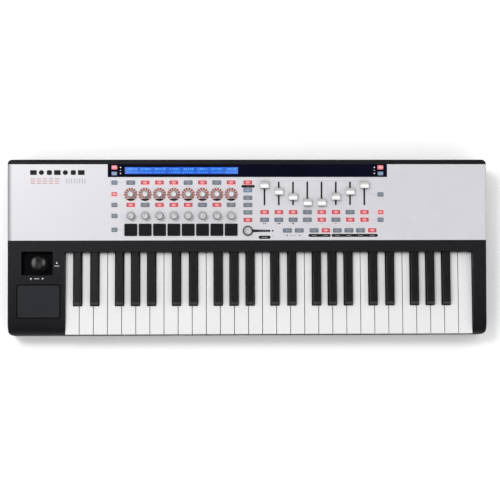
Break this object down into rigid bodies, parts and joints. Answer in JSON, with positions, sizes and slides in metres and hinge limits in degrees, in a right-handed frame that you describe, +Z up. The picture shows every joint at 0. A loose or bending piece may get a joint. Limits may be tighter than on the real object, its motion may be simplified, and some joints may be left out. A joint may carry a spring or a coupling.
{
  "type": "midi keyboard controller",
  "caption": "Desktop keyboard controller with full-size keys, a sloping silver panel of knobs, faders, pads and lit buttons, a joystick and a touch pad.",
  "frame": {"origin": "under the middle of the case, on the surface that the feet stand on", "axes": "+X along the keys towards the high notes, +Y to the rear, +Z up"},
  "size_m": [0.799, 0.2914, 0.0931],
  "materials": {
    "case_black": "fine textured black moulding",
    "panel_silver": "satin silver paint over plastic",
    "window_dark": "smoked glossy window",
    "display": "blue backlit display",
    "touch_surface": "fine grained",
    "light_guide": "lit light guide",
    "circuit_board": "solder mask",
    "control_body": "moulded",
    "socket_black": "moulded",
    "steel": "zinc plated",
    "spring_steel": "bright drawn",
    "contact_rubber": "silicone",
    "foot_rubber": "matt",
    "pad_rubber": "soft matt",
    "button_translucent": "translucent, some lit red",
    "knob_silver": "metallised",
    "fader_silver": "metallised",
    "stick_black": "polished black",
    "yoke_plastic": "moulded",
    "key_white": "polished",
    "key_black": "satin"
  },
  "bodies": {
    "case": {"bottom_case": "case_black", "front_surround": "case_black", "control_panel": "panel_silver", "display_window": "window_dark", "lcd_module": "display", "touchpad": "touch_surface", "light_rings": "light_guide", "circuit_boards": "circuit_board", "control_bodies": "control_body", "rear_sockets": "socket_black", "key_frame": "steel", "key_contact_strip": "contact_rubber", "key_springs": "spring_steel", "case_screws": "steel", "rubber_feet": "foot_rubber"},
    "keys_c": {"keys_c": "key_white"},
    "keys_c_sharp": {"keys_c_sharp": "key_black"},
    "keys_d": {"keys_d": "key_white"},
    "keys_d_sharp": {"keys_d_sharp": "key_black"},
    "keys_e": {"keys_e": "key_white"},
    "keys_f": {"keys_f": "key_white"},
    "keys_f_sharp": {"keys_f_sharp": "key_black"},
    "keys_g": {"keys_g": "key_white"},
    "keys_g_sharp": {"keys_g_sharp": "key_black"},
    "keys_a": {"keys_a": "key_white"},
    "keys_a_sharp": {"keys_a_sharp": "key_black"},
    "keys_b": {"keys_b": "key_white"},
    "encoder_buttons": {"encoder_buttons": "button_translucent"},
    "fader_buttons": {"fader_buttons": "button_translucent"},
    "select_buttons": {"select_buttons": "button_translucent"},
    "mode_buttons": {"mode_buttons": "button_translucent"},
    "drum_pads": {"drum_pads": "pad_rubber"},
    "encoder_knob_1": {"encoder_knob_1": "knob_silver"},
    "encoder_knob_2": {"encoder_knob_2": "knob_silver"},
    "encoder_knob_3": {"encoder_knob_3": "knob_silver"},
    "encoder_knob_4": {"encoder_knob_4": "knob_silver"},
    "encoder_knob_5": {"encoder_knob_5": "knob_silver"},
    "encoder_knob_6": {"encoder_knob_6": "knob_silver"},
    "encoder_knob_7": {"encoder_knob_7": "knob_silver"},
    "encoder_knob_8": {"encoder_knob_8": "knob_silver"},
    "pot_knob_1": {"pot_knob_1": "knob_silver"},
    "pot_knob_2": {"pot_knob_2": "knob_silver"},
    "pot_knob_3": {"pot_knob_3": "knob_silver"},
    "pot_knob_4": {"pot_knob_4": "knob_silver"},
    "pot_knob_5": {"pot_knob_5": "knob_silver"},
    "pot_knob_6": {"pot_knob_6": "knob_silver"},
    "pot_knob_7": {"pot_knob_7": "knob_silver"},
    "pot_knob_8": {"pot_knob_8": "knob_silver"},
    "speed_dial": {"speed_dial": "knob_silver"},
    "fader_1": {"fader_1": "fader_silver"},
    "fader_2": {"fader_2": "fader_silver"},
    "fader_3": {"fader_3": "fader_silver"},
    "fader_4": {"fader_4": "fader_silver"},
    "fader_5": {"fader_5": "fader_silver"},
    "fader_6": {"fader_6": "fader_silver"},
    "fader_7": {"fader_7": "fader_silver"},
    "fader_8": {"fader_8": "fader_silver"},
    "joystick_yoke": {"joystick_yoke": "yoke_plastic"},
    "joystick_stick": {"joystick_stick": "stick_black"},
    "power_switch": {"power_switch": "socket_black"}
  },
  "joints": [
    {"name": "keys_c_press", "type": "hinge", "parent": "case", "child": "keys_c", "pos_m": [0, 0.045, 0.044], "axis": [1, 0, 0], "range_deg": [0, 3], "stiffness_Nm_per_rad": 4, "springref_deg": -8.59},
    {"name": "keys_c_sharp_press", "type": "hinge", "parent": "case", "child": "keys_c_sharp", "pos_m": [0, 0.045, 0.044], "axis": [1, 0, 0], "range_deg": [0, 3], "stiffness_Nm_per_rad": 3.5, "springref_deg": -8.59},
    {"name": "keys_d_press", "type": "hinge", "parent": "case", "child": "keys_d", "pos_m": [0, 0.045, 0.044], "axis": [1, 0, 0], "range_deg": [0, 3], "stiffness_Nm_per_rad": 4, "springref_deg": -8.59},
    {"name": "keys_d_sharp_press", "type": "hinge", "parent": "case", "child": "keys_d_sharp", "pos_m": [0, 0.045, 0.044], "axis": [1, 0, 0], "range_deg": [0, 3], "stiffness_Nm_per_rad": 3.5, "springref_deg": -8.59},
    {"name": "keys_e_press", "type": "hinge", "parent": "case", "child": "keys_e", "pos_m": [0, 0.045, 0.044], "axis": [1, 0, 0], "range_deg": [0, 3], "stiffness_Nm_per_rad": 4, "springref_deg": -8.59},
    {"name": "keys_f_press", "type": "hinge", "parent": "case", "child": "keys_f", "pos_m": [0, 0.045, 0.044], "axis": [1, 0, 0], "range_deg": [0, 3], "stiffness_Nm_per_rad": 4, "springref_deg": -8.59},
    {"name": "keys_f_sharp_press", "type": "hinge", "parent": "case", "child": "keys_f_sharp", "pos_m": [0, 0.045, 0.044], "axis": [1, 0, 0], "range_deg": [0, 3], "stiffness_Nm_per_rad": 3.5, "springref_deg": -8.59},
    {"name": "keys_g_press", "type": "hinge", "parent": "case", "child": "keys_g", "pos_m": [0, 0.045, 0.044], "axis": [1, 0, 0], "range_deg": [0, 3], "stiffness_Nm_per_rad": 4, "springref_deg": -8.59},
    {"name": "keys_g_sharp_press", "type": "hinge", "parent": "case", "child": "keys_g_sharp", "pos_m": [0, 0.045, 0.044], "axis": [1, 0, 0], "range_deg": [0, 3], "stiffness_Nm_per_rad": 3.5, "springref_deg": -8.59},
    {"name": "keys_a_press", "type": "hinge", "parent": "case", "child": "keys_a", "pos_m": [0, 0.045, 0.044], "axis": [1, 0, 0], "range_deg": [0, 3], "stiffness_Nm_per_rad": 4, "springref_deg": -8.59},
    {"name": "keys_a_sharp_press", "type": "hinge", "parent": "case", "child": "keys_a_sharp", "pos_m": [0, 0.045, 0.044], "axis": [1, 0, 0], "range_deg": [0, 3], "stiffness_Nm_per_rad": 3.5, "springref_deg": -8.59},
    {"name": "keys_b_press", "type": "hinge", "parent": "case", "child": "keys_b", "pos_m": [0, 0.045, 0.044], "axis": [1, 0, 0], "range_deg": [0, 3], "stiffness_Nm_per_rad": 4, "springref_deg": -8.59},
    {"name": "encoder_buttons_press", "type": "slide", "parent": "case", "child": "encoder_buttons", "axis": [0, 0.0698, -0.9976], "range_m": [0, 0.0008], "stiffness_N_per_m": 500, "springref_m": -0.002},
    {"name": "fader_buttons_press", "type": "slide", "parent": "case", "child": "fader_buttons", "axis": [0, 0.0698, -0.9976], "range_m": [0, 0.0008], "stiffness_N_per_m": 500, "springref_m": -0.002},
    {"name": "select_buttons_press", "type": "slide", "parent": "case", "child": "select_buttons", "axis": [0, 0.0698, -0.9976], "range_m": [0, 0.0008], "stiffness_N_per_m": 500, "springref_m": -0.002},
    {"name": "mode_buttons_press", "type": "slide", "parent": "case", "child": "mode_buttons", "axis": [0, 0.0698, -0.9976], "range_m": [0, 0.0008], "stiffness_N_per_m": 500, "springref_m": -0.002},
    {"name": "drum_pads_press", "type": "slide", "parent": "case", "child": "drum_pads", "axis": [0, 0.0698, -0.9976], "range_m": [0, 0.0005], "stiffness_N_per_m": 2000, "springref_m": -0.002},
    {"name": "encoder_1_turn", "type": "hinge", "parent": "case", "child": "encoder_knob_1", "pos_m": [-0.1952, 0.0874, 0.07834], "axis": [0, 0.0698, -0.9976], "continuous": true},
    {"name": "encoder_2_turn", "type": "hinge", "parent": "case", "child": "encoder_knob_2", "pos_m": [-0.17135, 0.0874, 0.07834], "axis": [0, 0.0698, -0.9976], "continuous": true},
    {"name": "encoder_3_turn", "type": "hinge", "parent": "case", "child": "encoder_knob_3", "pos_m": [-0.1475, 0.0874, 0.07834], "axis": [0, 0.0698, -0.9976], "continuous": true},
    {"name": "encoder_4_turn", "type": "hinge", "parent": "case", "child": "encoder_knob_4", "pos_m": [-0.12365, 0.0874, 0.07834], "axis": [0, 0.0698, -0.9976], "continuous": true},
    {"name": "encoder_5_turn", "type": "hinge", "parent": "case", "child": "encoder_knob_5", "pos_m": [-0.0998, 0.0874, 0.07834], "axis": [0, 0.0698, -0.9976], "continuous": true},
    {"name": "encoder_6_turn", "type": "hinge", "parent": "case", "child": "encoder_knob_6", "pos_m": [-0.07595, 0.0874, 0.07834], "axis": [0, 0.0698, -0.9976], "continuous": true},
    {"name": "encoder_7_turn", "type": "hinge", "parent": "case", "child": "encoder_knob_7", "pos_m": [-0.0521, 0.0874, 0.07834], "axis": [0, 0.0698, -0.9976], "continuous": true},
    {"name": "encoder_8_turn", "type": "hinge", "parent": "case", "child": "encoder_knob_8", "pos_m": [-0.02825, 0.0874, 0.07834], "axis": [0, 0.0698, -0.9976], "continuous": true},
    {"name": "pot_1_turn", "type": "hinge", "parent": "case", "child": "pot_knob_1", "pos_m": [-0.1952, 0.0519, 0.07586], "axis": [0, 0.0698, -0.9976], "range_deg": [0, 300]},
    {"name": "pot_2_turn", "type": "hinge", "parent": "case", "child": "pot_knob_2", "pos_m": [-0.17135, 0.0519, 0.07586], "axis": [0, 0.0698, -0.9976], "range_deg": [-130, 170]},
    {"name": "pot_3_turn", "type": "hinge", "parent": "case", "child": "pot_knob_3", "pos_m": [-0.1475, 0.0519, 0.07586], "axis": [0, 0.0698, -0.9976], "range_deg": [-115, 185]},
    {"name": "pot_4_turn", "type": "hinge", "parent": "case", "child": "pot_knob_4", "pos_m": [-0.12365, 0.0519, 0.07586], "axis": [0, 0.0698, -0.9976], "range_deg": [-210, 90]},
    {"name": "pot_5_turn", "type": "hinge", "parent": "case", "child": "pot_knob_5", "pos_m": [-0.0998, 0.0519, 0.07586], "axis": [0, 0.0698, -0.9976], "range_deg": [-270, 30]},
    {"name": "pot_6_turn", "type": "hinge", "parent": "case", "child": "pot_knob_6", "pos_m": [-0.07595, 0.0519, 0.07586], "axis": [0, 0.0698, -0.9976], "range_deg": [-280, 20]},
    {"name": "pot_7_turn", "type": "hinge", "parent": "case", "child": "pot_knob_7", "pos_m": [-0.0521, 0.0519, 0.07586], "axis": [0, 0.0698, -0.9976], "range_deg": [-150, 150]},
    {"name": "pot_8_turn", "type": "hinge", "parent": "case", "child": "pot_knob_8", "pos_m": [-0.02825, 0.0519, 0.07586], "axis": [0, 0.0698, -0.9976], "range_deg": [-190, 110]},
    {"name": "speed_dial_turn", "type": "hinge", "parent": "case", "child": "speed_dial", "pos_m": [-0.0004, 0.0266, 0.07409], "axis": [0, 0.0698, -0.9976], "continuous": true},
    {"name": "fader_1_slide", "type": "slide", "parent": "case", "child": "fader_1", "axis": [0, 0.9976, 0.0698], "range_m": [-0.029, 0.001]},
    {"name": "fader_2_slide", "type": "slide", "parent": "case", "child": "fader_2", "axis": [0, 0.9976, 0.0698], "range_m": [-0.0182, 0.0118]},
    {"name": "fader_3_slide", "type": "slide", "parent": "case", "child": "fader_3", "axis": [0, 0.9976, 0.0698], "range_m": [-0.0094, 0.0206]},
    {"name": "fader_4_slide", "type": "slide", "parent": "case", "child": "fader_4", "axis": [0, 0.9976, 0.0698], "range_m": [0, 0.03]},
    {"name": "fader_5_slide", "type": "slide", "parent": "case", "child": "fader_5", "axis": [0, 0.9976, 0.0698], "range_m": [0, 0.03]},
    {"name": "fader_6_slide", "type": "slide", "parent": "case", "child": "fader_6", "axis": [0, 0.9976, 0.0698], "range_m": [-0.0096, 0.0204]},
    {"name": "fader_7_slide", "type": "slide", "parent": "case", "child": "fader_7", "axis": [0, 0.9976, 0.0698], "range_m": [-0.0182, 0.0118]},
    {"name": "fader_8_slide", "type": "slide", "parent": "case", "child": "fader_8", "axis": [0, 0.9976, 0.0698], "range_m": [-0.029, 0.001]},
    {"name": "joystick_left_right", "type": "hinge", "parent": "case", "child": "joystick_yoke", "pos_m": [-0.3475, -0.027, 0.044], "axis": [0, 1, 0], "range_deg": [-20, 20], "stiffness_Nm_per_rad": 0.3},
    {"name": "joystick_front_back", "type": "hinge", "parent": "joystick_yoke", "child": "joystick_stick", "pos_m": [-0.3475, -0.027, 0.044], "axis": [1, 0, 0], "range_deg": [-14, 14], "stiffness_Nm_per_rad": 0.3},
    {"name": "power_switch_slide", "type": "slide", "parent": "case", "child": "power_switch", "axis": [1, 0, 0], "range_m": [0, 0.004]}
  ]
}
